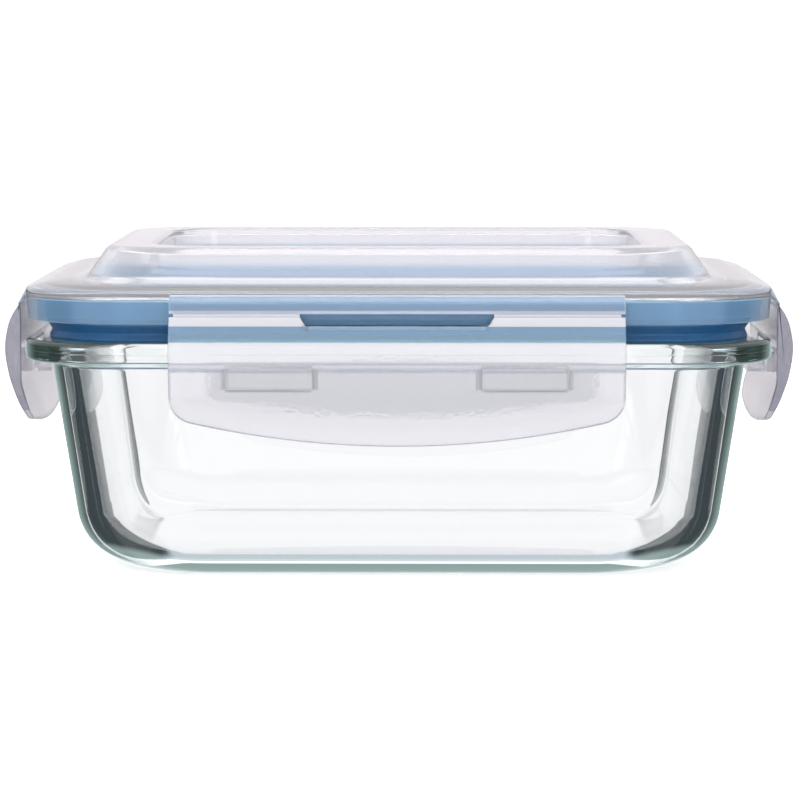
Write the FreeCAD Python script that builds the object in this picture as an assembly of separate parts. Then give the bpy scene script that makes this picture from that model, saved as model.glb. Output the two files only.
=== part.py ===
"""Rectangular glass storage container with a four-latch snap lid.

Frame: millimetres, +Z up, origin at the centre of the tray's underside. The long side runs along X and
the front faces -Y. Three things are made separately: the tray, the lid moulding and the gasket. The lid
moulding is split here at its living hinges, so that each latch can swing.
"""
import FreeCAD, Part
import math
import os

from FreeCAD import Vector

# Glass tray
RIM_LENGTH = 180.0
RIM_WIDTH = 132.0
RIM_CORNER = 22.0
RIM_TOP = 57.9
RIM_THICKNESS = 5.3
RIM_OVERHANG = 5.2          # from the wall's outer face out to the rim's edge
RIM_EDGE_RADIUS = 2.6       # leaves a narrow mould-parting land at mid-height
RIM_ROOT_RADIUS = 2.0
RIM_BLEND = 1.0             # the wall's outline is set this far below the rim's top
WALL_CORNER_TOP = 20.0
WALL_CORNER_FOOT = 24.0
WALL_THICKNESS = 6.0
FLOOR_THICKNESS = 4.6
DRAFT = 0.133               # inward lean of the wall per millimetre of height
FOOT_RADIUS = 16.0
FLOOR_RADIUS = 12.0
MOUTH_RADIUS = 1.5

# Lid panel
LID_LENGTH = 181.0
LID_WIDTH = 133.0
LID_CORNER = 27.0
SKIRT_BOTTOM = 62.3
SKIRT_TOP = 69.7
SKIRT_WALL = 1.8
SKIRT_TAPER = 0.7           # how far the skirt draws in towards its lower edge
CROWN_RUN = 5.0             # the flange rises steeply over this run, then gently
CROWN_RISE = 1.4
RIDGE_FOOT_LENGTH = 152.0
RIDGE_FOOT_WIDTH = 103.6
RIDGE_FOOT_CORNER = 17.0
RIDGE_FOOT_Z = 72.1
RIDGE_TOP_LENGTH = 142.0
RIDGE_TOP_WIDTH = 97.0
RIDGE_TOP_CORNER = 17.0
RIDGE_TOP_Z = 79.5
RIDGE_EDGE_RADIUS = 2.2
RECESS_LENGTH = 120.0
RECESS_WIDTH = 79.0
RECESS_CORNER = 12.0
RECESS_FLOOR_Z = 73.3
RECESS_DRAFT = 1.0
LID_WALL = 1.8

# Gasket, and the groove under the lid that holds it
GASKET_INSET = 5.3          # from the lid's outline in to the gasket's outer face
GASKET_WIDTH = 6.4
GASKET_TOP = 67.9
GASKET_SLOT_WIDTH = 2.0     # the ring is slotted from above, so that it can squeeze
GASKET_SLOT_FLOOR = 62.7
LIP_ROOT_Z = 61.5           # the sealing lips start below this height
LIP_NOTCH = 1.2
LIP_TOE = 0.4
GROOVE_RIB = 1.5
RIB_CLEARANCE = 0.2
OUTER_RIB_BOTTOM = 63.5
INNER_RIB_BOTTOM = 59.7
LOCATING_RIB_BOTTOM = 56.1
MOUTH_CLEARANCE = 0.6

# Latches: a reach is measured outward from the hinge plane, and a depth downward from the hinge axis
HINGE_Z = 64.85
HINGE_STANDOFF = 2.6        # from the lid's edge out to the hinge plane
WEB_HEIGHT = 0.7
WEB_THICKNESS = 0.45        # the web lies just inside the hinge plane
FRONT_LATCH_WIDTH = 107.0
SIDE_LATCH_WIDTH = 69.0
LATCH_OUTER_FACE = (        # (reach, depth) points that the curved outer face passes through
    (1.3, 2.2),
    (2.5, 5.1),
    (3.35, 10.6),
    (2.6, 17.0),
    (0.9, 22.4),
    (-1.0, 27.0),
    (-2.1, 31.15),
)
LATCH_BACK = -0.6           # reach of the inner face, flat down to the bottom of the pocket
LATCH_TIP_BACK = -3.9       # reach of the inner face at the tip, where the tail has curled inward
LATCH_BACK_CHAMFER = 0.65
LATCH_SKIN = 1.7
LATCH_END_WALL = 1.3
POCKET_TOP = 3.6            # depth at which the hollow behind the outer skin starts
POCKET_BOTTOM = 19.5
LATCH_CORNER = 6.3
FRONT_LATCH_BOW = 6.8       # how far the lower edge bows down between the latch's corners
SIDE_LATCH_BOW = 3.2
WINDOW_EDGE = 0.425         # half width of the gap between the two hinge pads, as a share of the latch's
WINDOW_SLANT = 1.6
WINDOW_DEPTH = 2.8
WEB_END = 0.98              # the webs stop short of the latch's ends
LUG_START = 0.374           # the catch lugs' ends, as shares of the latch's half width
LUG_END = 0.748
LUG_TOP_Z = 52.35
LUG_BOTTOM_Z = 47.7
LUG_REACH = 7.0
LUG_CORNER = 1.4
BOSS_START = 0.325          # the thick pads behind the lugs
BOSS_END = 0.785
BOSS_MARGIN = 1.2
LEDGE_ROOT_DROP = 2.6

MARGIN = 5.0                # how far cutting tools run past what they cut
UP = Vector(0, 0, 1)
ORIGIN = Vector(0, 0, 0)

# side: (turn about Z in degrees, distance of the hinge plane from the centre, latch width, lower edge's bow)
FRONT_DISTANCE = LID_WIDTH / 2 + HINGE_STANDOFF
SIDE_DISTANCE = LID_LENGTH / 2 + HINGE_STANDOFF
SIDES = {
    "front": (0, FRONT_DISTANCE, FRONT_LATCH_WIDTH, FRONT_LATCH_BOW),
    "right": (90, SIDE_DISTANCE, SIDE_LATCH_WIDTH, SIDE_LATCH_BOW),
    "back": (180, FRONT_DISTANCE, FRONT_LATCH_WIDTH, FRONT_LATCH_BOW),
    "left": (270, SIDE_DISTANCE, SIDE_LATCH_WIDTH, SIDE_LATCH_BOW),
}


def rounded_outline(length, width, corner, z):
    """Closed wire: a rectangle with rounded corners, centred on the Z axis."""
    run_x = length / 2 - corner
    run_y = width / 2 - corner
    edges = []
    for quarter, (x, y) in enumerate(((run_x, run_y), (-run_x, run_y), (-run_x, -run_y), (run_x, -run_y))):
        centre = Vector(x, y, z)
        angles = [math.radians(90 * quarter + step) for step in (0, 45, 90)]
        bend = [centre + corner * Vector(math.cos(a), math.sin(a), 0) for a in angles]
        if edges:
            edges.append(Part.makeLine(edges[-1].Vertexes[-1].Point, bend[0]))
        edges.append(Part.Arc(*bend).toShape())
    edges.append(Part.makeLine(edges[-1].Vertexes[-1].Point, edges[0].Vertexes[0].Point))
    return Part.Wire(edges)


def grown(outline, by, z=None):
    """An outline (length, width, corner, z) with every side moved outward, and its height if one is given."""
    length, width, corner, height = outline
    return (length + 2 * by, width + 2 * by, corner + by, height if z is None else z)


def plate(outline, top):
    """Straight-sided block on an outline, from the outline's own height to the top."""
    return Part.Face(rounded_outline(*outline)).extrude(Vector(0, 0, top - outline[3]))


def tapered(lower, upper):
    """Solid between two outlines at different heights."""
    return Part.makeLoft([rounded_outline(*lower), rounded_outline(*upper)], True, True)


def edges_at(shape, z, within=None):
    """Edges that lie in the horizontal plane at z, and inside an outline if one is given."""
    slack = 0.5
    found = []
    for edge in shape.Edges:
        box = edge.BoundBox
        if abs(box.ZMin - z) > 1e-4 or abs(box.ZMax - z) > 1e-4:
            continue
        if within and max(box.XMax, -box.XMin) > within[0] / 2 + slack:
            continue
        if within and max(box.YMax, -box.YMin) > within[1] / 2 + slack:
            continue
        found.append(edge)
    return found


def lid_band(profile):
    """Ring that follows the lid's outline, from a closed profile of (inset from that outline, z) pairs."""
    points = [Vector(LID_CORNER - inset, 0, z) for inset, z in profile]
    section = Part.Face(Part.makePolygon(points + points[:1]))
    run_x = LID_LENGTH / 2 - LID_CORNER
    run_y = LID_WIDTH / 2 - LID_CORNER
    pieces = []
    for turn, (out, across) in enumerate(((run_x, run_y), (run_y, run_x), (run_x, run_y), (run_y, run_x))):
        side = section.translated(Vector(out, -across, 0)).extrude(Vector(0, 2 * across, 0))
        centre = Vector(out, across, 0)
        bend = section.translated(centre).revolve(centre, UP, 90)
        pieces += [side.rotated(ORIGIN, UP, 90 * turn), bend.rotated(ORIGIN, UP, 90 * turn)]
    return pieces[0].multiFuse(pieces[1:]).removeSplitter()


def placed(shape, side):
    """Move a shape from the latch's own frame (hinge plane at y = 0, outward -Y) to one side of the lid."""
    turn, distance, _, _ = SIDES[side]
    return shape.translated(Vector(0, -distance, 0)).rotated(ORIGIN, UP, turn)


def glass_tray():
    """Pressed tray: drafted wall with a big foot radius, and a wide bullnose rim."""
    rim_outline = (RIM_LENGTH, RIM_WIDTH, RIM_CORNER, RIM_TOP - RIM_THICKNESS)
    wall_z = RIM_TOP - RIM_BLEND
    wall_top = (RIM_LENGTH - 2 * RIM_OVERHANG, RIM_WIDTH - 2 * RIM_OVERHANG, WALL_CORNER_TOP, wall_z)
    lean = DRAFT * wall_z
    wall_foot = (wall_top[0] - 2 * lean, wall_top[1] - 2 * lean, WALL_CORNER_FOOT, 0)
    body = tapered(wall_foot, wall_top)
    body = body.makeFillet(FOOT_RADIUS, edges_at(body, 0))

    rim = plate(rim_outline, RIM_TOP)
    rim = rim.makeFillet(RIM_EDGE_RADIUS, edges_at(rim, rim_outline[3]) + edges_at(rim, RIM_TOP))
    tray = body.fuse(rim).removeSplitter()
    tray = tray.makeFillet(RIM_ROOT_RADIUS, edges_at(tray, rim_outline[3], wall_top))

    mouth = grown(wall_top, -WALL_THICKNESS, RIM_TOP)
    lean = DRAFT * (RIM_TOP - FLOOR_THICKNESS)
    floor_corner = mouth[2] + WALL_CORNER_FOOT - WALL_CORNER_TOP
    floor = (mouth[0] - 2 * lean, mouth[1] - 2 * lean, floor_corner, FLOOR_THICKNESS)
    cavity = tapered(floor, mouth)
    cavity = cavity.makeFillet(FLOOR_RADIUS, edges_at(cavity, FLOOR_THICKNESS))
    tray = tray.cut(cavity)
    return tray.makeFillet(MOUTH_RADIUS, edges_at(tray, RIM_TOP, mouth))


def hinge_ledge(width):
    """Sloping shoulder that carries a latch's hinge webs, in the latch's own frame."""
    root = -HINGE_STANDOFF - SKIRT_WALL / 2
    foot_z = HINGE_Z + WEB_HEIGHT / 2
    profile = [(root, SKIRT_TOP), (-HINGE_STANDOFF, SKIRT_TOP), (0, foot_z), (-WEB_THICKNESS, foot_z),
               (root, SKIRT_TOP - LEDGE_ROOT_DROP)]
    points = [Vector(-width / 2, -reach, z) for reach, z in profile]
    return Part.Face(Part.makePolygon(points + points[:1])).extrude(Vector(width, 0, 0))


def lid_shell():
    """Skirt, crowned flange and raised ring round a recess, hollow underneath."""
    rim_line = (LID_LENGTH, LID_WIDTH, LID_CORNER, SKIRT_TOP)
    crown = grown(rim_line, -CROWN_RUN, SKIRT_TOP + CROWN_RISE)
    ridge_foot = (RIDGE_FOOT_LENGTH, RIDGE_FOOT_WIDTH, RIDGE_FOOT_CORNER, RIDGE_FOOT_Z)
    ridge_top = (RIDGE_TOP_LENGTH, RIDGE_TOP_WIDTH, RIDGE_TOP_CORNER, RIDGE_TOP_Z)
    recess_top = (RECESS_LENGTH, RECESS_WIDTH, RECESS_CORNER, RIDGE_TOP_Z)
    recess_floor = grown(recess_top, -RECESS_DRAFT, RECESS_FLOOR_Z)

    skirt = tapered(grown(rim_line, -SKIRT_TAPER, SKIRT_BOTTOM), rim_line)
    flange = tapered(rim_line, crown).fuse(tapered(crown, ridge_foot))
    ridge = tapered(ridge_foot, ridge_top)
    ridge = ridge.makeFillet(RIDGE_EDGE_RADIUS, edges_at(ridge, RIDGE_TOP_Z))
    outside = skirt.multiFuse([flange, ridge]).cut(tapered(recess_floor, recess_top))

    groove = plate(grown(rim_line, -SKIRT_TAPER - SKIRT_WALL, SKIRT_BOTTOM - MARGIN), GASKET_TOP)
    under_flange = tapered(grown(ridge_foot, GROOVE_RIB, GASKET_TOP - MARGIN),
                           grown(ridge_foot, -LID_WALL, RIDGE_FOOT_Z - LID_WALL))
    under_ridge = tapered(grown(ridge_foot, -LID_WALL, RIDGE_FOOT_Z - MARGIN),
                          grown(ridge_top, -LID_WALL, RIDGE_TOP_Z - LID_WALL))
    centre_panel = tapered(grown(recess_floor, LID_WALL, RECESS_FLOOR_Z - LID_WALL),
                           grown(recess_top, LID_WALL, RIDGE_TOP_Z))
    return outside.cut(groove.multiFuse([under_flange, under_ridge]).cut(centre_panel))


def gasket_ribs():
    """Two ribs that form the gasket's groove; the inner one dips into the tray's mouth to locate the lid."""
    roof = GASKET_TOP + LID_WALL / 2
    outer_face = GASKET_INSET - RIB_CLEARANCE
    inner_face = GASKET_INSET + GASKET_WIDTH + RIB_CLEARANCE
    outer = lid_band([(outer_face - GROOVE_RIB, OUTER_RIB_BOTTOM), (outer_face, OUTER_RIB_BOTTOM),
                      (outer_face, roof), (outer_face - GROOVE_RIB, roof)])
    inner = lid_band([(inner_face, INNER_RIB_BOTTOM), (inner_face + GROOVE_RIB, INNER_RIB_BOTTOM),
                      (inner_face + GROOVE_RIB, roof), (inner_face, roof)])
    locating = lid_band([(inner_face, LOCATING_RIB_BOTTOM), (inner_face + GROOVE_RIB, LOCATING_RIB_BOTTOM),
                         (inner_face + GROOVE_RIB, roof), (inner_face, roof)])
    inset = RIM_OVERHANG + WALL_THICKNESS + MOUTH_CLEARANCE
    mouth = grown((RIM_LENGTH, RIM_WIDTH, 0, LOCATING_RIB_BOTTOM - MARGIN), -inset)
    mouth = (mouth[0], mouth[1], WALL_CORNER_TOP - WALL_THICKNESS, mouth[3])
    return [outer, inner, locating.common(plate(mouth, roof))]


def lid_panel():
    """The lid moulding without its latches."""
    ledges = [placed(hinge_ledge(width), side) for side, (_, _, width, _) in SIDES.items()]
    return lid_shell().multiFuse(gasket_ribs() + ledges).removeSplitter()


def silicone_gasket():
    """Loose ring with two lips on its outer side, pressed between the lid's groove and the rim."""
    near = GASKET_INSET
    far = GASKET_INSET + GASKET_WIDTH
    slot = (GASKET_WIDTH - GASKET_SLOT_WIDTH) / 2
    notch_z = (LIP_ROOT_Z + RIM_TOP) / 2
    return lid_band([
        (near, GASKET_TOP), (near, LIP_ROOT_Z), (near + LIP_NOTCH, notch_z), (near + LIP_TOE, RIM_TOP),
        (far - LIP_NOTCH - LIP_TOE, RIM_TOP), (far - LIP_NOTCH, notch_z), (far, LIP_ROOT_Z),
        (far, GASKET_TOP), (far - slot, GASKET_TOP), (far - slot, GASKET_SLOT_FLOOR),
        (near + slot, GASKET_SLOT_FLOOR), (near + slot, GASKET_TOP),
    ])


def latch_section(shift, inner_side):
    """YZ face from the latch's outer face, moved inward by shift, to points that run up its inner side."""
    curve = [Vector(0, shift - reach, HINGE_Z - depth) for reach, depth in LATCH_OUTER_FACE]
    outer = Part.BSplineCurve()
    outer.interpolate(curve)
    back = [Vector(0, -reach, HINGE_Z - depth) for reach, depth in inner_side]
    path = [curve[-1]] + back + [curve[0]]
    lines = [Part.makeLine(start, end) for start, end in zip(path, path[1:])]
    return Part.Face(Part.Wire([outer.toShape()] + lines))


def polygon_section(points):
    """YZ face from (reach, depth) points."""
    corners = [Vector(0, -reach, HINGE_Z - depth) for reach, depth in points]
    return Part.Face(Part.makePolygon(corners + corners[:1]))


def along_x(section, start, end):
    """Solid from a YZ face, run between two x values."""
    return section.translated(Vector(start, 0, 0)).extrude(Vector(end - start, 0, 0))


def box_between(x_range, reach_range, z_range):
    """Box in the latch's own frame."""
    sizes = [high - low for low, high in (x_range, reach_range, z_range)]
    return Part.makeBox(*sizes, Vector(x_range[0], -reach_range[1], z_range[0]))


def latch_outline(width, bow):
    """Prism that trims a latch: rounded lower corners and a bowed lower edge."""
    half = width / 2
    tip_z = HINGE_Z - LATCH_OUTER_FACE[-1][1]
    lower_left = Vector(-half, MARGIN, tip_z + bow)
    lower_right = Vector(half, MARGIN, tip_z + bow)
    upper_right = Vector(half, MARGIN, HINGE_Z)
    upper_left = Vector(-half, MARGIN, HINGE_Z)
    bottom = Part.Arc(lower_left, Vector(0, MARGIN, tip_z), lower_right).toShape()
    path = [lower_right, upper_right, upper_left, lower_left]
    lines = [Part.makeLine(start, end) for start, end in zip(path, path[1:])]
    prism = Part.Face(Part.Wire([bottom] + lines)).extrude(Vector(0, -3 * MARGIN, 0))
    corners = [e for e in prism.Edges
               if e.BoundBox.YLength > MARGIN and abs(e.BoundBox.ZMax - lower_left.z) < 1e-3]
    return prism.makeFillet(LATCH_CORNER, corners)


def pad_window(half):
    """Prism that opens the gap between the two hinge pads, with slanted ends."""
    top = half * WINDOW_EDGE
    outline = [(-top, 0), (top, 0), (top - WINDOW_SLANT, WINDOW_DEPTH), (WINDOW_SLANT - top, WINDOW_DEPTH)]
    corners = [Vector(x, MARGIN, HINGE_Z - depth) for x, depth in outline]
    return Part.Face(Part.makePolygon(corners + corners[:1])).extrude(Vector(0, -3 * MARGIN, 0))


def catch_lug(start, end):
    """Hook that sits under the rim, with its lower edges rounded."""
    lug = box_between((start, end), (-LUG_REACH, LATCH_BACK + LATCH_SKIN), (LUG_BOTTOM_Z, LUG_TOP_Z))
    lower = [e for e in edges_at(lug, LUG_BOTTOM_Z) if e.BoundBox.YMax > LUG_REACH - 1e-3]
    return lug.makeFillet(LUG_CORNER, lower)


def mirrored_spans(half, start, end):
    """The two x ranges, left and right of centre, between two shares of the half width."""
    return [(-half * end, -half * start), (half * start, half * end)]


def latch(side):
    """One latch: curved skin with end walls, two hinge pads at the top and two catch lugs."""
    _, _, width, bow = SIDES[side]
    half = width / 2
    top = WEB_HEIGHT / 2
    tip = LATCH_OUTER_FACE[-1][1]
    shoulder = LATCH_OUTER_FACE[0]
    head = polygon_section([(-WEB_THICKNESS, top), (0, top), shoulder, (LATCH_BACK, shoulder[1]),
                            (LATCH_BACK, top + LATCH_BACK_CHAMFER)])
    inner_side = [(LATCH_TIP_BACK, tip), (LATCH_BACK, POCKET_BOTTOM), (LATCH_BACK, shoulder[1])]
    flap = along_x(latch_section(0, inner_side), -half, half)
    flap = flap.fuse(along_x(head, -half, half)).cut(pad_window(half))

    open_side = LATCH_BACK - MARGIN
    hollow = latch_section(LATCH_SKIN, [(open_side, POCKET_BOTTOM), (open_side, POCKET_TOP)])
    inner_half = half - LATCH_END_WALL
    hollow = along_x(hollow, -inner_half, inner_half)
    boss_heights = (LUG_BOTTOM_Z - BOSS_MARGIN, LUG_TOP_Z + BOSS_MARGIN)
    depth_limits = box_between((-half, half), (open_side, MARGIN),
                               (HINGE_Z - POCKET_BOTTOM, HINGE_Z - POCKET_TOP))
    hollow = hollow.common(depth_limits)
    for span in mirrored_spans(half, BOSS_START, BOSS_END):
        hollow = hollow.cut(box_between(span, (LATCH_BACK - 2 * MARGIN, MARGIN), boss_heights))
    flap = flap.cut(hollow).common(latch_outline(width, bow))
    lugs = [catch_lug(*span) for span in mirrored_spans(half, LUG_START, LUG_END)]
    return placed(flap.multiFuse(lugs).removeSplitter(), side)


def living_hinge(side):
    """Two thin webs that join a latch's pads to its ledge."""
    _, _, width, _ = SIDES[side]
    z_range = (HINGE_Z - WEB_HEIGHT / 2, HINGE_Z + WEB_HEIGHT / 2)
    webs = [box_between(span, (-WEB_THICKNESS, 0), z_range)
            for span in mirrored_spans(width / 2, WINDOW_EDGE, WEB_END)]
    return placed(Part.makeCompound(webs), side)


def all_parts():
    """Every node's name and shape."""
    parts = {"glass_tray": glass_tray(), "lid_panel": lid_panel(), "silicone_gasket": silicone_gasket()}
    for side in SIDES:
        parts[side + "_latch"] = latch(side)
        parts[side + "_living_hinge"] = living_hinge(side)
    return parts


os.makedirs("parts", exist_ok=True)
for node, shape in all_parts().items():
    shape.exportStep("parts/" + node + ".step")
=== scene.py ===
"""Looks of the glass storage container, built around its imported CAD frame.

Lengths are in millimetres unless a comment says otherwise, in the frame's own axes: +Z up, the front
towards -Y, the origin under the middle of the tray. Meshes are scaled to metres when they are made.
An outline is a rounded rectangle given as (half length, half width, corner radius).
"""
import math

import bpy
import numpy as np
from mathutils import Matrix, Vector


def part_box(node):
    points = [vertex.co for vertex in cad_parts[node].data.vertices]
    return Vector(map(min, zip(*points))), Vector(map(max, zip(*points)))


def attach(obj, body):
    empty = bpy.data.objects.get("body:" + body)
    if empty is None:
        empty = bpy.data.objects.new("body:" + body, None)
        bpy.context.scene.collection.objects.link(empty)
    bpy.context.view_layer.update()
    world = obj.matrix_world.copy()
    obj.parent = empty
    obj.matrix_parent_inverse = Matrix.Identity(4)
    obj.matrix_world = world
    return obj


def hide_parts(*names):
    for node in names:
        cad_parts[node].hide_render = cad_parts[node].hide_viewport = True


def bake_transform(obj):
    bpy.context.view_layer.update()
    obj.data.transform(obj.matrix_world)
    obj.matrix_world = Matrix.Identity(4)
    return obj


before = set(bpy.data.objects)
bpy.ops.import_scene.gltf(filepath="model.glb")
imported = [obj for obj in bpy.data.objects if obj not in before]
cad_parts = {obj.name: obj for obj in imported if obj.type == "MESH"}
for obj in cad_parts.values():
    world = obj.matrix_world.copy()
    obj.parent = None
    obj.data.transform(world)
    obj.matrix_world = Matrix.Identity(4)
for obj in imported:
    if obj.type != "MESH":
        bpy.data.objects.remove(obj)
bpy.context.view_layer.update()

MM = 0.001

# Corners of the boxes of the CAD parts that the looks are fitted to
TRAY_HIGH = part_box("glass_tray")[1] / MM
LID_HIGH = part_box("lid_panel")[1] / MM
GASKET_LOW, GASKET_HIGH = (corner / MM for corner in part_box("silicone_gasket"))
LATCH_LOW, LATCH_HIGH = (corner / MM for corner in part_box("front_latch"))
WEB_LOW, WEB_HIGH = (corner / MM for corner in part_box("front_living_hinge"))

# Tray
RIM_CORNER = 22.0
RIM_THICKNESS = 5.3
RIM_OVERHANG = 5.2
RIM_ROUND = 2.55
RIM_ROOT = 2.0
WALL_CORNER = (24.0, 20.0)      # at the foot and at the rim
WALL_DATUM = 1.0                # below the rim's top, where the wall lies RIM_OVERHANG inside the rim
WALL_THICKNESS = 6.0
FLOOR_THICKNESS = 4.6
DRAFT = 0.133                   # how far the wall leans in for each millimetre down
FOOT_ROUND = 16.0
FLOOR_ROUND = 12.0
MOUTH_ROUND = 1.5
PARTING_BEAD = 0.07             # how far the mould's seam stands out of the rim
BEAD_CREST = 0.05               # half height of the seam's crest
BEAD_FOOT = 0.12                # half height of the seam where it meets the rim

# Lid
STANDOFF = 2.6                  # hinge plane, outward from the lid's edge
LID_CORNER = 27.0
SKIRT_BOTTOM = 62.3
SKIRT_TOP = 69.7
SKIRT_TAPER = 0.7
SKIRT_WALL = 1.8
CROWN_RUN = 5.0
CROWN_RISE = 1.4
CROWN_ROUND = 12.0
RIDGE_FOOT = (76.0, 51.8, 17.0)
RIDGE_FOOT_Z = 72.1
RIDGE_TOP = (71.0, 48.5, 17.0)
RECESS_TOP = (60.0, 39.5, 12.0)
RECESS_FLOOR_Z = 73.3
RECESS_DRAFT = 1.0
LID_WALL = 1.8
RIB = 1.5
OUTER_RIB_BOTTOM = 63.5
INNER_RIB_BOTTOM = 59.7
GROOVE_GAP = 0.2                # between the gasket and the ribs on either side of it

# Gasket
GASKET_WIDTH = 6.4
LIP_ROOT_Z = 61.5
LIP_NOTCH = 1.2
LIP_TOE = 0.4

# Latches: reach outward from the hinge plane, depth down from the hinge axis
HINGE_Z = (WEB_LOW.z + WEB_HIGH.z) / 2
LATCH_LENGTH = HINGE_Z - LATCH_LOW.z
LATCH_FACE = ((0.0, 0.35), (1.3, 2.2), (2.5, 5.1), (3.35, 10.6), (2.6, 17.0), (0.9, 22.4), (-1.0, 27.0),
              (-2.1, LATCH_LENGTH))                         # (reach, depth) down the outer face
LATCH_BACK = -0.6               # inner face, flat down to the tail
TIP_BACK = -3.9                 # inner face at the tip, where the tail has curled inward
TAIL_DEPTH = 19.5               # where the inner face starts to curl inward
WEDGE_END = 1.1                 # depth at which the head has widened to the inner face
LATCH_CORNER = 6.3
EDGE = 0.45                     # rounding of the latch's edges
HEAD_FLAT = (0.1, 0.08)         # bevels either side of the flat along the top, at the back and at the face
PAD_ROUND = 0.12                # height of the rounding along the top of the hinge pads
WINDOW_EDGE = 0.425             # half width of the window between the pads, as a share of the half width
WINDOW_SLANT = 1.6
WINDOW_DEPTH = 2.8
WINDOW_ROUND = 0.5              # height of the rounding along the window
LUG_SPAN = (0.374, 0.748)       # from the middle, as shares of the half width
LUG_DEPTHS = (12.5, 17.15)
LUG_REACH = -7.0
LUG_END_SLOPE = 0.3
LUG_FACE_SLOPE = 0.12
FRONT_BOW = 6.8                 # how far the lower edge hangs down in its middle
SIDE_BOW = 3.2

# Hinge webs, and the ledges on the lid that carry them
WEB_THICKNESS = 0.45
WEB_END = 0.98                  # outer end of a web, as a share of the half width
WEB_ROWS = 9
LEDGE_NOSE = -0.06
LEDGE_NOSE_HEIGHT = 0.12
LEDGE_ROOT = 2.6                # below the skirt's top, where the ledge's underside runs into the skirt

FRONT_WIDTH = LATCH_HIGH.x - LATCH_LOW.x
SIDE_WIDTH = (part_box("right_latch")[1].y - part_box("right_latch")[0].y) / MM

# What each side's latch, ledge and webs are built from:
# turn about Z in degrees, distance of the hinge plane from the middle, width, bow
SIDES = {
    "front": (0, LID_HIGH.y, FRONT_WIDTH, FRONT_BOW),
    "right": (90, LID_HIGH.x, SIDE_WIDTH, SIDE_BOW),
    "back": (180, LID_HIGH.y, FRONT_WIDTH, FRONT_BOW),
    "left": (270, LID_HIGH.x, SIDE_WIDTH, SIDE_BOW),
}

# How finely the meshes are divided
NORMAL_WEIGHT = 90              # how much large faces lead the shading of their edges
SMALLEST_CORNER = 0.05
CORNER_STEPS = 14               # round each quarter of an outline
STRAIGHT_SHARES = (0.03, 0.35, 0.65, 0.97)                  # along each straight run of an outline
CAP_SHARE = 0.4                 # size of the outline that closes a flat cap in its middle
FILLET_SHARE = 0.49             # the most of a path's leg that one fillet may take
WIDE_FILLET = 5.0               # fillets above this radius are divided finely
WIDE_STEP = 6.0                 # degrees
NARROW_STEP = 15.0              # degrees
COLUMN_SPACING = 2.5            # across a latch
CLOSEST_COLUMNS = 0.02
SHORTEST_ROW = 0.3

# Glass
GLASS_IOR = 1.5
GLASS_TINT = (0.42, 0.86, 0.66, 1)
GLASS_DENSITY = 7.0             # per metre
# The glass's emission is painted light: faint everywhere, stronger where seen edge-on and round the foot's
# bend
GLASS_PAINTED_LIGHT_TINT = (0.68, 0.92, 0.88, 1)
GLASS_PAINTED_LIGHT = 0.010              # painted light everywhere, standing in for light still trapped in the glass at the last bounce
EDGE_PAINTED_LIGHT = 0.40                # painted light where the glass is seen edge-on
FOOT_PAINTED_LIGHT = 0.30                # painted light round the foot's bend
GLASS_WAVES = (18, 0.05, 1.0)   # scale, strength and detail of the surface noise

# Plastics
MILKY = 0.80                    # share of light that passes through
MILKIER = 0.50                  # the same, for the top of the latches
PLASTIC_IOR = 1.42
PLASTIC_ROUGHNESS = 0.08
# The plastics' emission is a faint painted light all over
PLASTIC_PAINTED_LIGHT_TINT = (0.80, 0.80, 0.95, 1)
PLASTIC_PAINTED_LIGHT = 0.014
PLASTIC_GRAIN = (900, 0.04, 3.0)
BAND_EDGE_ABOVE = 0.4           # height over which a band of colour fades out upward
BAND_EDGE_BELOW = 0.2

# Silicone
SILICONE_DARK = (0.007, 0.075, 0.20, 1)
SILICONE_LIGHT = (0.013, 0.11, 0.26, 1)
SILICONE_ROUGHNESS = 0.42
SILICONE_GRAIN = (700, 0.12, 3.0)

BUMP_HEIGHT = 0.001             # metres, that surface noise of full strength stands for

# Light. Directions are sines: sideways from the line of sight, and up from the horizon
FILL_LIGHT = (1.25, 1.25, 1.28, 1)
TOP_LIGHT = (1.5, 1.5, 1.5, 1)
TABLE_LIGHT = (0.52, 0.56, 0.62, 1)
SIDE_LIGHT = (0.85, 0.85, 0.88, 1)
SOFTBOX = (3.2, 3.2, 3.2, 1)
SOFTBOX_SPAN = (0.12, 0.34)     # sideways
SOFTBOX_EDGE = 0.02
SOFTBOX_MIDDLE = 0.12           # up
CARD = (0.03, 0.035, 0.045, 1)
CARD_EDGE = (0.18, 0.28)        # sideways, where the table gives way to the dark cards
FLOOR_TONE = (0.94, 0.94, 0.94, 1)
FLOOR_LIGHT = 0.55
FLOOR_SIZE = 8.0                # metres
FLOOR_DROP = 0.0002             # metres below the tray's foot
PANEL_LIGHT = 0.89
PANEL_SEEN = 1.2                # brightness of the panel where the camera looks straight at it
PANEL_TINT = (1.0, 0.95, 0.99, 1)
PANEL_BEHIND = 0.5              # metres from the object to the lit panel behind it
PANEL_HALF = (0.215, 0.5)       # metres
LAMP_SIZE = 0.6                 # metres
LAMP_POWER = 1.5                # watts
LAMP_PLACE = (-0.5, 0.6, 0)     # metres, in the camera's own axes

# Camera
CAMERA_LENS = 147.8
CAMERA_TARGET = Vector((0, 0, 0.0377))                      # metres
CAMERA_DISTANCE = 0.8396        # metres
CAMERA_ELEVATION = math.radians(6.07)
CAMERA_YAW = math.radians(0.59)
BOUNCES = 24
CLEAR_BOUNCES = 16


# ---------------------------------------------------------------- mesh building

def make_mesh(name, vertices, faces):
    """A mesh object from millimetre vertices, smooth shaded with face-weighted normals."""
    mesh = bpy.data.meshes.new(name)
    mesh.from_pydata([tuple(v * MM for v in vertex) for vertex in vertices], [], faces)
    mesh.validate()
    mesh.shade_smooth()
    piece = bpy.data.objects.new(name, mesh)
    bpy.context.scene.collection.objects.link(piece)
    weighted = piece.modifiers.new("normals", "WEIGHTED_NORMAL")
    weighted.weight = NORMAL_WEIGHT
    return piece


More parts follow.
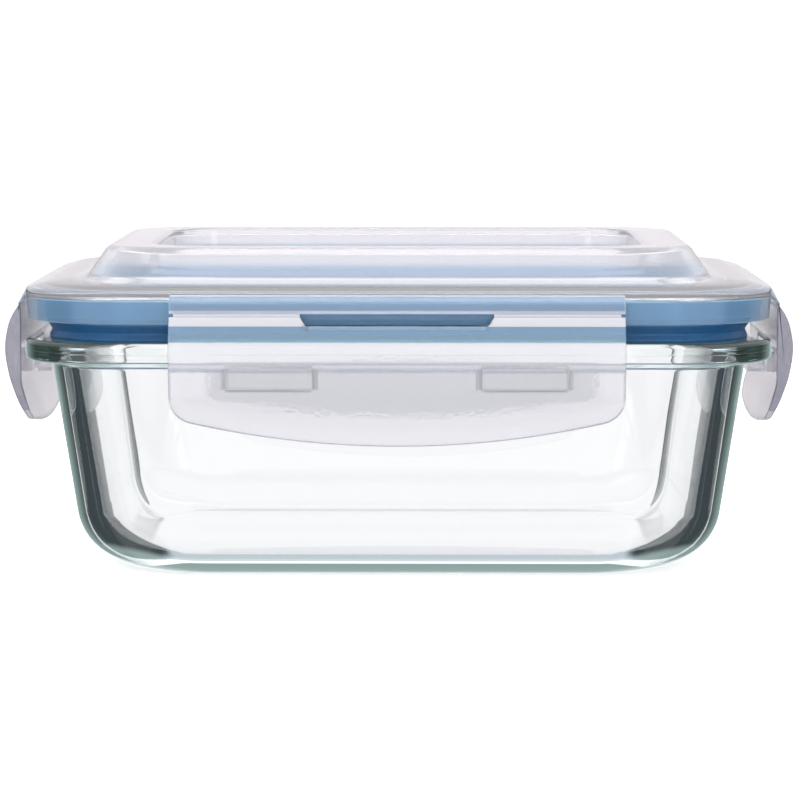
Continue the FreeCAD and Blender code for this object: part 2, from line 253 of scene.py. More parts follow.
def outline_loop(outline, z):
    """Points round a rounded rectangle, counter-clockwise from above, always the same number of them."""
    half_x, half_y, corner = outline
    corner = max(corner, SMALLEST_CORNER)
    run_x = half_x - corner
    run_y = half_y - corner
    points = []
    for quarter, (x, y) in enumerate(((run_x, run_y), (-run_x, run_y), (-run_x, -run_y), (run_x, -run_y))):
        for step in range(CORNER_STEPS + 1):
            angle = math.radians(90 * (quarter + step / CORNER_STEPS))
            points.append((x + corner * math.cos(angle), y + corner * math.sin(angle), z))
        along_x = quarter % 2 == 0
        run = run_x if along_x else run_y
        sign = -1 if quarter < 2 else 1
        start_x, start_y, _ = points[-1]
        for share in STRAIGHT_SHARES:
            slide = 2 * run * share * sign
            if along_x:
                points.append((start_x + slide, start_y, z))
            else:
                points.append((start_x, start_y + slide, z))
    return points


def rounded_path(corners, closed=False):
    """Sections along a path of (outline, z, fillet) corners, with each corner replaced by an arc."""
    nodes = [np.array([*outline, z]) for outline, z, _ in corners]
    count = len(nodes)
    path = []
    for i, (_, _, fillet) in enumerate(corners):
        here = nodes[i]
        if fillet <= 0 or (not closed and i in (0, count - 1)):
            path.append(here)
            continue
        back = nodes[i - 1] - here
        ahead = nodes[(i + 1) % count] - here
        back_length = math.hypot(back[0], back[3])
        ahead_length = math.hypot(ahead[0], ahead[3])
        cosine = (back[0] * ahead[0] + back[3] * ahead[3]) / (back_length * ahead_length)
        half_angle = math.acos(max(-1.0, min(1.0, cosine))) / 2
        longest = FILLET_SHARE * min(back_length, ahead_length)
        reach = min(fillet / math.tan(half_angle), longest)
        start = here + back * reach / back_length
        end = here + ahead * reach / ahead_length
        weight = math.sin(half_angle)
        turn = math.degrees(math.pi - 2 * half_angle)
        steps = max(2, math.ceil(turn / (WIDE_STEP if fillet > WIDE_FILLET else NARROW_STEP)))
        for step in range(steps + 1):
            t = step / steps
            shares = np.array([(1 - t) ** 2, 2 * weight * t * (1 - t), t ** 2])
            path.append((shares[0] * start + shares[1] * here + shares[2] * end) / shares.sum())
    return path


def skin_sections(name, path, closed=False):
    """Closed mesh through a path of sections; an open path is capped at both ends."""
    loops = [outline_loop(section[:3], section[3]) for section in path]
    count = len(loops[0])
    vertices = [point for loop in loops for point in loop]
    faces = []
    for i in range(len(loops) if closed else len(loops) - 1):
        j = (i + 1) % len(loops)
        for k in range(count):
            n = (k + 1) % count
            faces.append((i * count + k, j * count + k, j * count + n, i * count + n))
    if not closed:
        faces.append(tuple(range(count)))
        last = (len(loops) - 1) * count
        faces.append(tuple(last + k for k in reversed(range(count))))
    return make_mesh(name, vertices, faces)


def grown(outline, by):
    """An outline with every side moved outward."""
    return tuple(value + by for value in outline)


def cap_middle(outline):
    """The small outline that closes a flat cap."""
    return tuple(value * CAP_SHARE for value in outline)


def smooth_step(value, low, high):
    """0 below low, 1 above high, eased between."""
    t = min(1.0, max(0.0, (value - low) / (high - low)))
    return t * t * (3 - 2 * t)


def between(value, low, high, slope):
    """1 inside low..high, 0 outside, eased over the given width at both ends."""
    return smooth_step(value, low - slope, low) * (1 - smooth_step(value, high, high + slope))


# ---------------------------------------------------------------- tray, lid and gasket

def tray_piece():
    """Pressed glass tray: foot, drafted wall, bullnose rim with a parting bead, inner wall and floor."""
    rim = (TRAY_HIGH.x, TRAY_HIGH.y, RIM_CORNER)
    rim_top = TRAY_HIGH.z
    rim_bottom = rim_top - RIM_THICKNESS
    rim_middle = rim_top - RIM_THICKNESS / 2
    wall_z = rim_top - WALL_DATUM

    def wall(z, inward=0.0):
        share = z / wall_z
        corner = WALL_CORNER[0] + (WALL_CORNER[1] - WALL_CORNER[0]) * share
        inset = RIM_OVERHANG + DRAFT * (wall_z - z) + inward
        return (TRAY_HIGH.x - inset, TRAY_HIGH.y - inset, corner - inward)

    foot = wall(0)
    floor = wall(FLOOR_THICKNESS, WALL_THICKNESS)
    bead = grown(rim, PARTING_BEAD)
    path = rounded_path([
        (cap_middle(floor), FLOOR_THICKNESS, 0),
        (floor, FLOOR_THICKNESS, FLOOR_ROUND),
        (wall(rim_top, WALL_THICKNESS), rim_top, MOUTH_ROUND),
        (rim, rim_top, RIM_ROUND),
        (rim, rim_middle + BEAD_FOOT, 0),
        (bead, rim_middle + BEAD_CREST, 0),
        (bead, rim_middle - BEAD_CREST, 0),
        (rim, rim_middle - BEAD_FOOT, 0),
        (rim, rim_bottom, RIM_ROUND),
        (wall(rim_bottom), rim_bottom, RIM_ROOT),
        (foot, 0, FOOT_ROUND),
        (cap_middle(foot), 0, 0),
    ])
    return skin_sections("tray_glass", path)


def lid_piece():
    """Lid moulding: recess, ring, crowned flange and skirt on top; groove ribs and hollow ring underneath."""
    edge = (LID_HIGH.x - STANDOFF, LID_HIGH.y - STANDOFF, LID_CORNER)
    top = LID_HIGH.z
    roof = GASKET_HIGH.z
    recess_floor = grown(RECESS_TOP, -RECESS_DRAFT)
    skirt_foot = grown(edge, -SKIRT_TAPER)
    inset = edge[0] - GASKET_HIGH.x
    groove_out = grown(edge, -inset + GROOVE_GAP)
    groove_in = grown(edge, -inset - GASKET_WIDTH - GROOVE_GAP)
    path = rounded_path([
        (cap_middle(recess_floor), RECESS_FLOOR_Z, 0),
        (recess_floor, RECESS_FLOOR_Z, 1.2),
        (RECESS_TOP, top, 0.9),
        (RIDGE_TOP, top, 2.2),
        (RIDGE_FOOT, RIDGE_FOOT_Z, 2.2),
        (grown(edge, -CROWN_RUN), SKIRT_TOP + CROWN_RISE, CROWN_ROUND),
        (edge, SKIRT_TOP, 1.3),
        (skirt_foot, SKIRT_BOTTOM, 0.4),
        (grown(skirt_foot, -SKIRT_WALL), SKIRT_BOTTOM, 0.4),
        (grown(skirt_foot, -SKIRT_WALL), roof, 0.4),
        (grown(groove_out, RIB), roof, 0.3),
        (grown(groove_out, RIB), OUTER_RIB_BOTTOM, 0.4),
        (groove_out, OUTER_RIB_BOTTOM, 0.4),
        (groove_out, roof, 0.3),
        (groove_in, roof, 0.3),
        (groove_in, INNER_RIB_BOTTOM, 0.4),
        (grown(groove_in, -RIB), INNER_RIB_BOTTOM, 0.4),
        (grown(groove_in, -RIB), roof, 1.0),
        (grown(RIDGE_FOOT, -LID_WALL), RIDGE_FOOT_Z - LID_WALL, 1.0),
        (grown(RIDGE_TOP, -LID_WALL), top - LID_WALL, 1.0),
        (grown(RECESS_TOP, LID_WALL), top - LID_WALL, 0.8),
        (grown(recess_floor, LID_WALL), RECESS_FLOOR_Z - LID_WALL, 1.0),
        (cap_middle(recess_floor), RECESS_FLOOR_Z - LID_WALL, 0),
    ])
    return skin_sections("lid_moulding", path)


def gasket_piece():
    """Silicone ring with two soft lips on the rim."""
    low, high = GASKET_LOW.z, GASKET_HIGH.z
    outer = (GASKET_HIGH.x, GASKET_HIGH.y, LID_CORNER - (LID_HIGH.x - STANDOFF - GASKET_HIGH.x))
    notch = (LIP_ROOT_Z + low) / 2
    path = rounded_path([
        (outer, high, 0.5),
        (outer, LIP_ROOT_Z, 0.5),
        (grown(outer, -LIP_NOTCH), notch, 0.5),
        (grown(outer, -LIP_TOE), low, 0.35),
        (grown(outer, -GASKET_WIDTH + LIP_NOTCH + LIP_TOE), low, 0.35),
        (grown(outer, -GASKET_WIDTH + LIP_NOTCH), notch, 0.5),
        (grown(outer, -GASKET_WIDTH), LIP_ROOT_Z, 0.5),
        (grown(outer, -GASKET_WIDTH), high, 0.5),
    ], closed=True)
    return skin_sections("gasket_ring", path, closed=True)


# ---------------------------------------------------------------- latches

def placed(vertices, side):
    """Turn points from the latch's own frame (reach along -Y from the hinge plane) to one side of the lid."""
    turn, distance, _, _ = SIDES[side]
    cosine, sine = {0: (1, 0), 90: (0, 1), 180: (-1, 0), 270: (0, -1)}[turn]
    moved = []
    for x, y, z in vertices:
        y -= distance
        moved.append((x * cosine - y * sine, x * sine + y * cosine, z))
    return moved


def face_reach(depth):
    """Reach of the latch's outer face at a depth: straight at the wedge, then a smooth curve."""
    if depth <= LATCH_FACE[1][1]:
        (r0, d0), (r1, d1) = LATCH_FACE[:2]
        return r0 + (r1 - r0) * (depth - d0) / (d1 - d0)
    curve = LATCH_FACE[1:]
    i = 0
    while i < len(curve) - 2 and depth > curve[i + 1][1]:
        i += 1
    before = curve[max(i - 1, 0)]
    here, ahead = curve[i], curve[i + 1]
    after = curve[min(i + 2, len(curve) - 1)]
    span = ahead[1] - here[1]
    t = (depth - here[1]) / span
    slope_here = (ahead[0] - before[0]) / (ahead[1] - before[1]) * span
    slope_ahead = (after[0] - here[0]) / (after[1] - here[1]) * span
    return ((2 * t ** 3 - 3 * t ** 2 + 1) * here[0] + (t ** 3 - 2 * t ** 2 + t) * slope_here
            + (3 * t ** 2 - 2 * t ** 3) * ahead[0] + (t ** 3 - t ** 2) * slope_ahead)


def inner_reach(depth):
    """Reach of the latch's inner face, which curls inward along the tail."""
    share = max(0.0, depth - TAIL_DEPTH) / (LATCH_LENGTH - TAIL_DEPTH)
    return LATCH_BACK + (TIP_BACK - LATCH_BACK) * share


def back_reach(x, depth, half):
    """Reach of the latch's inner side: a head as deep as the web, a flat face, a curled tail, two lugs."""
    if depth < WEDGE_END:
        widened = smooth_step(depth, LATCH_FACE[0][1], WEDGE_END)
        return -WEB_THICKNESS + (LATCH_BACK + WEB_THICKNESS) * widened
    reach = inner_reach(depth)
    across = between(abs(x), LUG_SPAN[0] * half, LUG_SPAN[1] * half, LUG_END_SLOPE)
    lug = across * between(depth, *LUG_DEPTHS, LUG_FACE_SLOPE)
    return reach + lug * (LUG_REACH - reach)


def latch_columns(half):
    """x stations across a latch, close together where its shape changes."""
    marks = {0.0, half * WINDOW_EDGE, half * WINDOW_EDGE - WINDOW_SLANT}
    for share in LUG_SPAN:
        marks |= {half * share + LUG_END_SLOPE * step for step in (-1, -0.5, 0, 0.5, 1)}
    marks |= {half - LATCH_CORNER * (1 - math.sin(math.radians(11.25 * step))) for step in range(1, 9)}
    marks |= {half - EDGE * (1 - math.sin(math.radians(22.5 * step))) for step in range(5)}
    spread = sorted(marks)
    filled = []
    for a, b in zip(spread, spread[1:]):
        parts = max(1, round((b - a) / COLUMN_SPACING))
        filled += [a + (b - a) * k / parts for k in range(parts)]
    filled.append(spread[-1])
    thinned = [filled[0]]
    for value in filled[1:]:
        if value - thinned[-1] > CLOSEST_COLUMNS:
            thinned.append(value)
    thinned[-1] = half
    return [-value for value in reversed(thinned[1:])] + thinned


def latch_bottom(x, half, bow):
    """Depth of the latch's lower edge at x: a bow in the middle, rounded into upright ends."""
    radius = (half ** 2 + bow ** 2) / (2 * bow)
    across = abs(x)
    # the corner circle touches the upright end and the bow from inside
    centre_x = half - LATCH_CORNER
    centre_depth = LATCH_LENGTH - radius + math.sqrt((radius - LATCH_CORNER) ** 2 - centre_x ** 2)
    touch_x = centre_x * radius / (radius - LATCH_CORNER)
    if across <= touch_x:
        return LATCH_LENGTH - radius + math.sqrt(radius ** 2 - across ** 2)
    return centre_depth + math.sqrt(max(0.0, LATCH_CORNER ** 2 - (across - centre_x) ** 2))


def latch_top(x, half):
    """Depth of the latch's upper edge at x: hinge pads with a window between them."""
    edge = half * WINDOW_EDGE
    share = min(1.0, max(0.0, (abs(x) - edge + WINDOW_SLANT) / WINDOW_SLANT))
    return WINDOW_DEPTH + (LATCH_FACE[0][1] - WINDOW_DEPTH) * share


def latch_rows(first, bottom):
    """Depths of the rows of points down one column, always the same number of them."""
    start, end = LUG_DEPTHS
    face = [2.4, 3.0, 3.6, 4.1, 4.8, 5.6, 6.5, 7.5, 8.5, 9.2, 9.8, 10.4, 11.0]
    lug = [start - 0.12, start - 0.04, start + 0.04, start + 0.3, 13.6, 14.8, 16.0]
    lug += [end - 0.3, end, end + 0.06, end + 0.12]
    tail = [18.0, 18.6]
    lowest = bottom - EDGE
    upper = [first, (first + face[0]) / 2] + face + lug + tail
    lower = [tail[-1] + (lowest - tail[-1]) * share for share in (0.2, 0.45, 0.7, 0.9, 1.0)]
    # the latch's ends are shorter: rows they don't reach are dropped, and the last row stands in for them
    rows = [depth for depth in upper if depth < lowest - SHORTEST_ROW] + lower
    return rows + rows[-1:] * (len(upper) + len(lower) - len(rows))


def latch_loop(x, half, bow):
    """One upright section of a latch at x: down the face, round the tip and up the inner side."""
    past_end = max(0.0, abs(x) - (half - EDGE))
    pull = EDGE - math.sqrt(max(0.0, EDGE ** 2 - past_end ** 2))
    top = latch_top(x, half) + pull * 0.3
    bottom = latch_bottom(x, half, bow) - pull
    pad = smooth_step(abs(x), half * WINDOW_EDGE - WINDOW_SLANT, half * WINDOW_EDGE)
    first = top + PAD_ROUND + (WINDOW_ROUND - PAD_ROUND) * (1 - pad)
    rows = latch_rows(first, bottom)
    section = [(face_reach(depth) - pull, depth) for depth in rows]
    for angle in (30, 60, 90):
        inward = EDGE * (1 - math.cos(math.radians(angle)))
        rise = EDGE * (1 - math.sin(math.radians(angle)))
        section.append((face_reach(bottom) - pull - inward, bottom - rise))
    for angle in (90, 60, 30):
        outward = EDGE * (1 - math.cos(math.radians(angle)))
        rise = EDGE * (1 - math.sin(math.radians(angle)))
        section.append((inner_reach(bottom) + pull + outward, bottom - rise))
    section += [(back_reach(x, depth, half) + pull, depth) for depth in reversed(rows)]
    # a narrow flat along the top, bevelled towards both faces
    at_back, at_face = HEAD_FLAT
    section.append((-WEB_THICKNESS + at_back + pull * 0.5, top))
    section.append((face_reach(top + 0.05) - at_face - pull * 0.5, top))
    return [(x, -reach, HINGE_Z - depth) for reach, depth in section]


def latch_piece(side):
    """One latch as a single closed skin, lofted across its width."""
    _, _, width, bow = SIDES[side]
    half = width / 2
    loops = [latch_loop(x, half, bow) for x in latch_columns(half)]
    count = len(loops[0])
    vertices = placed([point for loop in loops for point in loop], side)
    faces = []
    for i in range(len(loops) - 1):
        for k in range(count):
            n = (k + 1) % count
            faces.append((i * count + k, i * count + n, (i + 1) * count + n, (i + 1) * count + k))
    last = (len(loops) - 1) * count
    faces.append(tuple(reversed(range(count))))
    faces.append(tuple(last + k for k in range(count)))
    return make_mesh(side + "_latch_flap", vertices, faces)


def ledge_piece(side):
    """Sloping shoulder on the lid's edge that carries a latch's hinge."""
    _, _, width, _ = SIDES[side]
    half = width / 2
    foot = WEB_HIGH.z
    # (reach, height) round the section: out along the slope, round the nose, back along the underside
    section = [
        (-STANDOFF + 0.02, SKIRT_TOP - 0.35),
        (-STANDOFF + 0.25, SKIRT_TOP - 0.25),
        (LEDGE_NOSE, foot + LEDGE_NOSE_HEIGHT),
        (LEDGE_NOSE, foot),
        (-WEB_THICKNESS, foot),
        (-STANDOFF - 0.15, SKIRT_TOP - LEDGE_ROOT),
    ]
    # (x, pull) across the width: the ends are pulled in and down a little to round them off
    columns = [(-half, 0.3), (-half + 0.15, 0.08), (-half + 0.4, 0), (-half * 0.4, 0), (half * 0.4, 0),
               (half - 0.4, 0), (half - 0.15, 0.08), (half, 0.3)]
    vertices = []
    for x, pull in columns:
        for reach, z in section:
            drop = pull * 0.5 if z > foot + 1 else 0
            vertices.append((x, -(reach - pull * 0.5), z - drop))
    count = len(section)
    faces = []
    for i in range(len(columns) - 1):
        for k in range(count):
            n = (k + 1) % count
            faces.append((i * count + k, (i + 1) * count + k, (i + 1) * count + n, i * count + n))
    last = (len(columns) - 1) * count
    faces.append(tuple(range(count)))
    faces.append(tuple(last + k for k in reversed(range(count))))
    return make_mesh(side + "_hinge_ledge", placed(vertices, side), faces)


def hinge_strip(side):
    """Two thin webs between ledge and latch, fine enough to bend."""
    _, _, width, _ = SIDES[side]
    half = width / 2
    low, high = WEB_LOW.z, WEB_HIGH.z
    vertices = []
    faces = []
    for sign in (-1, 1):
        near, far = (sign * half * share for share in (WINDOW_EDGE, WEB_END))
        base = len(vertices)
        for row in range(WEB_ROWS):
            z = high + (low - high) * row / (WEB_ROWS - 1)
            vertices += [(near, 0, z), (far, 0, z), (far, WEB_THICKNESS, z), (near, WEB_THICKNESS, z)]
        for row in range(WEB_ROWS - 1):
            for corner in range(4):
                following = (corner + 1) % 4
                a, b = base + 4 * row, base + 4 * (row + 1)
                face = (a + corner, b + corner, b + following, a + following)
                faces.append(face if sign > 0 else face[::-1])
        top = tuple(base + corner for corner in range(4))
        bottom = tuple(base + 4 * (WEB_ROWS - 1) + corner for corner in range(4))
        faces.append(top if sign > 0 else top[::-1])
        faces.append(bottom[::-1] if sign > 0 else bottom)
    return make_mesh(side + "_hinge_strip", placed(vertices, side), faces)


# ---------------------------------------------------------------- materials

class Nodes:
    """Short calls for wiring a node tree."""

    def __init__(self, tree):
        self.tree = tree

    def add(self, kind, **settings):
        """A new node with some of its settings."""
        node = self.tree.nodes.new(kind)
        for key, value in settings.items():
            setattr(node, key, value)
        return node

    def put(self, value, socket):
        """Wire an output into a socket, or set it to a plain value."""
        if isinstance(value, bpy.types.NodeSocket):
            self.tree.links.new(value, socket)
        else:
            socket.default_value = value

    def put_all(self, node, **values):
        """Put values into a node's inputs, named as in Blender with _ for each space."""
        for name, value in values.items():
            self.put(value, node.inputs[name.replace("_", " ")])

    def math(self, operation, a, b=0.0):
        """One sum."""
        node = self.add("ShaderNodeMath", operation=operation)
        self.put(a, node.inputs[0])
        self.put(b, node.inputs[1])
        return node.outputs["Value"]

    def ease(self, value, low, high, at_low=0.0, at_high=1.0):
        """A smooth change from one value to another while the input goes from low to high."""
        node = self.add("ShaderNodeMapRange", interpolation_type="SMOOTHSTEP")
        self.put_all(node, Value=value, From_Min=low, From_Max=high, To_Min=at_low, To_Max=at_high)
        return node.outputs["Result"]

    def mix(self, share, a, b):
        """Colour a where the share is 0 and b where it is 1."""
        node = self.add("ShaderNodeMix", data_type="RGBA")
        self.put(share, node.inputs["Factor"])
        self.put(a, node.inputs[6])
        self.put(b, node.inputs[7])
        return node.outputs[2]

    def split(self, vector):
        """The x, y and z of a vector."""
        node = self.add("ShaderNodeSeparateXYZ")
        self.put(vector, node.inputs["Vector"])
        return node.outputs

    def facing(self):
        """0 where a surface faces the viewer, 1 where it is seen edge-on."""
        return self.add("ShaderNodeLayerWeight").outputs["Facing"]

    def seen_directly(self):
        """1 for what the camera looks straight at, 0 for light on its way through the object."""
        return self.add("ShaderNodeLightPath").outputs["Is Camera Ray"]


def new_material(name):
    """A material, its nodes and its Principled shader."""
    material = bpy.data.materials.new(name)
    material.use_nodes = True
    return material, Nodes(material.node_tree), material.node_tree.nodes["Principled BSDF"]


def noise_bump(n, shader, scale, strength, detail):
    """Fine surface unevenness from noise that moves with the piece; gives back the noise."""
    noise = n.add("ShaderNodeTexNoise")
    place = n.add("ShaderNodeTexCoord").outputs["Object"]
    n.put_all(noise, Vector=place, Scale=scale, Detail=detail)
    bump = n.add("ShaderNodeBump")
    n.put_all(bump, Strength=strength, Distance=BUMP_HEIGHT, Height=noise.outputs["Fac"])
    n.put_all(shader, Normal=bump.outputs["Normal"])
    return noise.outputs["Fac"]


def absorb_light(n, colour, density):
    """Colour that deepens with the distance light travels inside the material."""
    absorb = n.add("ShaderNodeVolumeAbsorption")
    n.put_all(absorb, Color=colour, Density=density)
    n.put_all(n.tree.nodes["Material Output"], Volume=absorb.outputs["Volume"])


def glass_material():
    """Clear pressed glass with a green tint that shows along its thick edges, and painted light given as
    emission.
    """
    material, n, shader = new_material("pressed_glass")
    upward = n.split(n.add("ShaderNodeNewGeometry").outputs["Normal"])["Z"]
    # painted light along the silhouette, but not on top of the rim
    not_on_top = n.ease(upward, 0.2, 0.6, 1.0, 0.0)
    edge = n.math("MULTIPLY", n.ease(n.facing(), 0.52, 0.94, 0.0, EDGE_PAINTED_LIGHT), not_on_top)
    # painted light round the foot's bend, but not on the flat underside
    not_underneath = n.ease(upward, -0.998, -0.985)
    foot = n.math("MULTIPLY", n.ease(upward, -0.68, -0.56, FOOT_PAINTED_LIGHT, 0.0), not_underneath)
    seen = n.math("MULTIPLY", n.math("MAXIMUM", edge, foot), n.seen_directly())
    n.put_all(shader, Base_Color=(1, 1, 1, 1), Roughness=0.0, IOR=GLASS_IOR, Transmission_Weight=1.0,
              Emission_Color=GLASS_PAINTED_LIGHT_TINT, Emission_Strength=n.math("ADD", seen, GLASS_PAINTED_LIGHT))
    noise_bump(n, shader, *GLASS_WAVES)
    absorb_light(n, GLASS_TINT, GLASS_DENSITY)
    return material


def frosted_material(name, milky, bands=(), milky_above=None, outline=None, ends=None):
    """Milky translucent polypropylene, with a faint painted light given as emission.

    Each band is (low, high, tint): heights, and the painted colour of what shows through there. Above
    milky_above the plastic lets less light through. The outline is painted shade: the darker tint where it
    is seen edge-on. The ends are painted shade too, given as (distance in Y from the middle, tint beyond it).
    """
    material, n, shader = new_material(name)
    place = n.split(n.add("ShaderNodeTexCoord").outputs["Object"])
    height = place["Z"]
    facing = n.facing()
    colour = milky
    for low, high, tint in bands:
        below_top = n.ease(height, high * MM, (high + BAND_EDGE_ABOVE) * MM, 1.0, 0.0)
        above_bottom = n.ease(height, (low - BAND_EDGE_BELOW) * MM, low * MM)
        upright = n.ease(facing, 0.35, 0.8, 1.0, 0.0)
        share = n.math("MULTIPLY", n.math("MULTIPLY", below_top, above_bottom), upright)
        colour = n.mix(share, colour, tint)
    # painted shade: a darker tint where the plastic is seen edge-on
    if outline:
        colour = n.mix(n.ease(facing, 0.30, 0.75), colour, outline)
    # painted shade: a darker tint on the piece's ends
    if ends:
        start, tint = ends
        past = n.ease(n.math("ABSOLUTE", place["Y"]), start * MM, (start + 0.3) * MM)
        colour = n.mix(past, colour, tint)
    clear = MILKY
    if milky_above:
        clear = n.ease(height, milky_above * MM, (milky_above + 0.2) * MM, MILKY, MILKIER)
    # the emission is a faint painted light
    n.put_all(shader, Base_Color=colour, Transmission_Weight=clear, Roughness=PLASTIC_ROUGHNESS,
              IOR=PLASTIC_IOR, Emission_Color=PLASTIC_PAINTED_LIGHT_TINT, Emission_Strength=PLASTIC_PAINTED_LIGHT)
    noise_bump(n, shader, *PLASTIC_GRAIN)
    return material


def silicone_material():
    """Deep-blue silicone with a soft sheen and faint mottling."""
    material, n, shader = new_material("blue_silicone")
    ramp = n.add("ShaderNodeValToRGB")
    ramp.color_ramp.elements[0].color = SILICONE_DARK
    ramp.color_ramp.elements[1].color = SILICONE_LIGHT
    n.put_all(ramp, Fac=noise_bump(n, shader, *SILICONE_GRAIN))
    n.put_all(shader, Base_Color=ramp.outputs["Color"], Roughness=SILICONE_ROUGHNESS)
    return material


# ---------------------------------------------------------------- stage

def studio_world():
    """Light tent that turns with the camera: bright above, softboxes beside it, dark cards at the sides."""
    world = bpy.data.worlds.new("studio")
    bpy.context.scene.world = world
    world.use_nodes = True
    n = Nodes(world.node_tree)
    direction = n.add("ShaderNodeTexCoord").outputs
    along = n.split(direction["Camera"])
    up = n.split(direction["Generated"])["Z"]
    sideways = n.math("ABSOLUTE", along["X"])
    start, end = SOFTBOX_SPAN
    box = n.math("MULTIPLY", n.ease(sideways, start - SOFTBOX_EDGE, start + SOFTBOX_EDGE),
                 n.ease(sideways, end - SOFTBOX_EDGE, end + SOFTBOX_EDGE, 1.0, 0.0))
    off_middle = n.math("ABSOLUTE", n.math("SUBTRACT", up, SOFTBOX_MIDDLE))
    box = n.math("MULTIPLY", box, n.ease(off_middle, 0.25, 0.3, 1.0, 0.0))
    behind_camera = n.mix(box, FILL_LIGHT, SOFTBOX)
    table = n.math("MULTIPLY", n.ease(up, -0.25, -0.12, 1.0, 0.0), n.ease(sideways, *CARD_EDGE, 1.0, 0.0))
    colour = n.mix(table, CARD, TABLE_LIGHT)
    colour = n.mix(n.ease(up, 0.02, 0.14), colour, SIDE_LIGHT)
    colour = n.mix(n.ease(along["Z"], -0.45, -0.25, 1.0, 0.0), colour, behind_camera)
    colour = n.mix(n.ease(up, 0.45, 0.7), colour, TOP_LIGHT)
    n.put_all(world.node_tree.nodes["Background"], Color=colour)


def studio_floor():
    """Pale floor for the camera; light that comes through the object passes on to what lies beyond it."""
    bpy.ops.mesh.primitive_plane_add(size=FLOOR_SIZE, location=(0, 0, -FLOOR_DROP))
    floor = bpy.context.object
    floor.name = "floor"
    material, n, shader = new_material("floor_white")
    n.put_all(shader, Base_Color=FLOOR_TONE, Emission_Color=FLOOR_TONE, Emission_Strength=FLOOR_LIGHT,
              Roughness=1.0, Specular_IOR_Level=0.0)
    mixed = n.add("ShaderNodeMixShader")
    n.put(n.seen_directly(), mixed.inputs["Fac"])
    n.put(n.add("ShaderNodeBsdfTransparent").outputs["BSDF"], mixed.inputs[1])
    n.put(shader.outputs["BSDF"], mixed.inputs[2])
    n.put_all(material.node_tree.nodes["Material Output"], Surface=mixed.outputs["Shader"])
    floor.data.materials.append(material)


def studio_panel(camera):
    """Lit white panel that stays behind the object, facing the camera."""
    half_x, half_y = PANEL_HALF
    corners = [(-half_x, -half_y, 0), (half_x, -half_y, 0), (half_x, half_y, 0), (-half_x, half_y, 0)]
    mesh = bpy.data.meshes.new("panel")
    mesh.from_pydata(corners, [], [(0, 1, 2, 3)])
    panel = bpy.data.objects.new("panel", mesh)
    bpy.context.scene.collection.objects.link(panel)
    material, n, shader = new_material("panel_white")
    strength = n.ease(n.seen_directly(), 0.0, 1.0, PANEL_LIGHT, PANEL_SEEN)
    n.put_all(shader, Base_Color=(0, 0, 0, 1), Emission_Color=PANEL_TINT, Emission_Strength=strength)
    panel.data.materials.append(material)
    panel.parent = camera
    panel.location = (0, 0, -CAMERA_DISTANCE - PANEL_BEHIND)


def studio_lamp(camera):
    """Large soft lamp up and to the left of the camera."""
    lamp = bpy.data.objects.new("soft_lamp", bpy.data.lights.new("soft_lamp", "AREA"))
    lamp.data.size = LAMP_SIZE
    lamp.data.energy = LAMP_POWER
    bpy.context.scene.collection.objects.link(lamp)
    lamp.parent = camera
    lamp.location = LAMP_PLACE


def studio_camera():
    """Long lens a little above the object, in front of it."""
    camera = bpy.data.objects.new("camera", bpy.data.cameras.new("camera"))
    camera.data.lens = CAMERA_LENS
    bpy.context.scene.collection.objects.link(camera)
    level = math.cos(CAMERA_ELEVATION)
    sight = Vector((math.sin(CAMERA_YAW) * level, -math.cos(CAMERA_YAW) * level, math.sin(CAMERA_ELEVATION)))
    camera.location = CAMERA_TARGET + CAMERA_DISTANCE * sight
    camera.rotation_euler = (CAMERA_TARGET - camera.location).to_track_quat("-Z", "Y").to_euler()
    bpy.context.scene.camera = camera
    return camera


def studio():
    """World, floor, camera, soft light and render look."""
    studio_world()
    studio_floor()
    camera = studio_camera()
    studio_panel(camera)
    studio_lamp(camera)
    scene = bpy.context.scene
    scene.view_settings.view_transform = "Standard"
    scene.cycles.use_denoising = True
    scene.cycles.max_bounces = BOUNCES
    scene.cycles.transmission_bounces = BOUNCES
    scene.cycles.transparent_max_bounces = CLEAR_BOUNCES


# ---------------------------------------------------------------- assembly

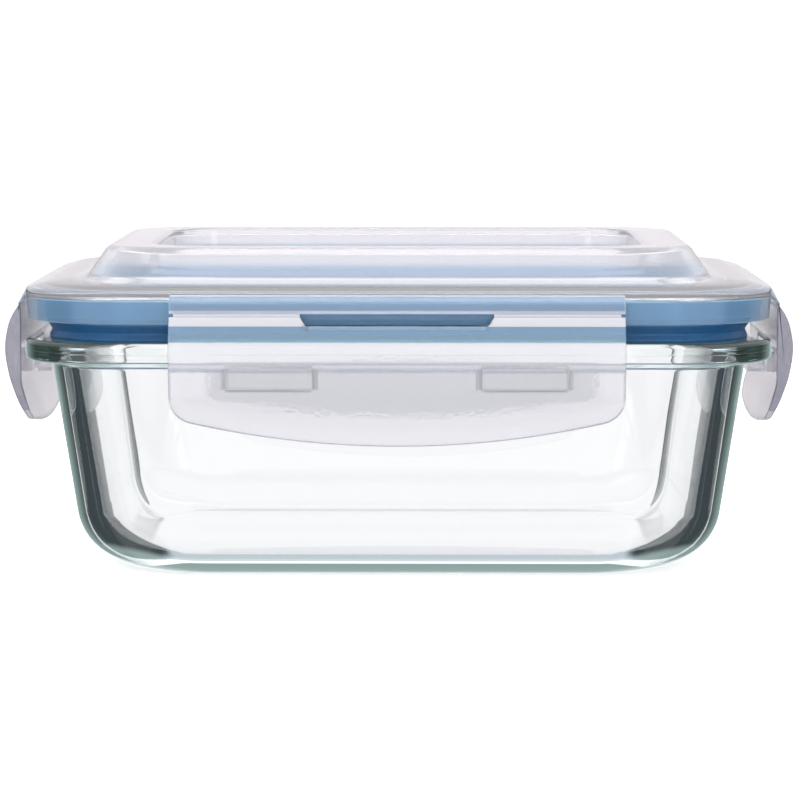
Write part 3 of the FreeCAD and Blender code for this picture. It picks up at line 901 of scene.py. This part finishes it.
def finish_piece(piece, material, body=None, node=None):
    """Give a piece its material and its body, and hide the CAD node it stands for."""
    piece.data.materials.append(material)
    if body:
        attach(piece, body)
    if node:
        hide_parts(node)


def finish_side(side, flap_material, ledge_material, strip_material):
    """One side's latch on its own body, its ledge on the lid, and the webs between the two."""
    latch_body = side + "_latch_body"
    finish_piece(latch_piece(side), flap_material, latch_body, side + "_latch")
    finish_piece(ledge_piece(side), ledge_material, "lid")
    strip = hinge_strip(side)
    finish_piece(strip, strip_material, node=side + "_living_hinge")
    upper, lower = placed([(0, 0, WEB_HIGH.z), (0, 0, WEB_LOW.z)], side)
    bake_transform(strip)


def container():
    """All pieces of the container with their materials."""
    glass = glass_material()
    # the blue bands are painted: they stand for the gasket and its lips showing through the skirt and the
    # ring
    lid_plastic = frosted_material("frosted_lid", (0.965, 0.955, 0.975, 1), [
        (SKIRT_BOTTOM - 1, 67.9, (0.36, 0.62, 0.83, 1)),
        (72.4, 75.0, (0.70, 0.79, 0.90, 1)),
    ])
    ledge_plastic = frosted_material("frosted_ledge", (0.86, 0.86, 0.92, 1), [
        (66.1, 69.0, (0.42, 0.56, 0.70, 1)),
    ])
    latch_plastic = frosted_material("frosted_latch", (0.858, 0.85, 0.875, 1), [
        (58.8, 62.2, (0.50, 0.74, 0.94, 1)),
        # the grey band is painted shade across the flap's middle, for the tray and the far latch seen through
        # it
        (42.3, 52.8, (0.845, 0.832, 0.858, 1)),
    # the outline is painted shade where the flap is seen edge-on
    ], milky_above=62.3, outline=(0.45, 0.45, 0.56, 1))
    # the side latches get a lighter copy of the latch plastic, painted light, with painted shade on their
    # ends
    side_plastic = frosted_material("frosted_side_latch", (0.92, 0.91, 0.94, 1),
                                    ends=(33.2, (0.36, 0.36, 0.43, 1)))
    silicone = silicone_material()

    finish_piece(tray_piece(), glass, "tray", "glass_tray")
    finish_piece(lid_piece(), lid_plastic, "lid", "lid_panel")
    finish_piece(gasket_piece(), silicone, "lid", "silicone_gasket")
    for side in SIDES:
        flap_plastic = latch_plastic if side in ("front", "back") else side_plastic
        finish_side(side, flap_plastic, ledge_plastic, latch_plastic)


container()
studio()
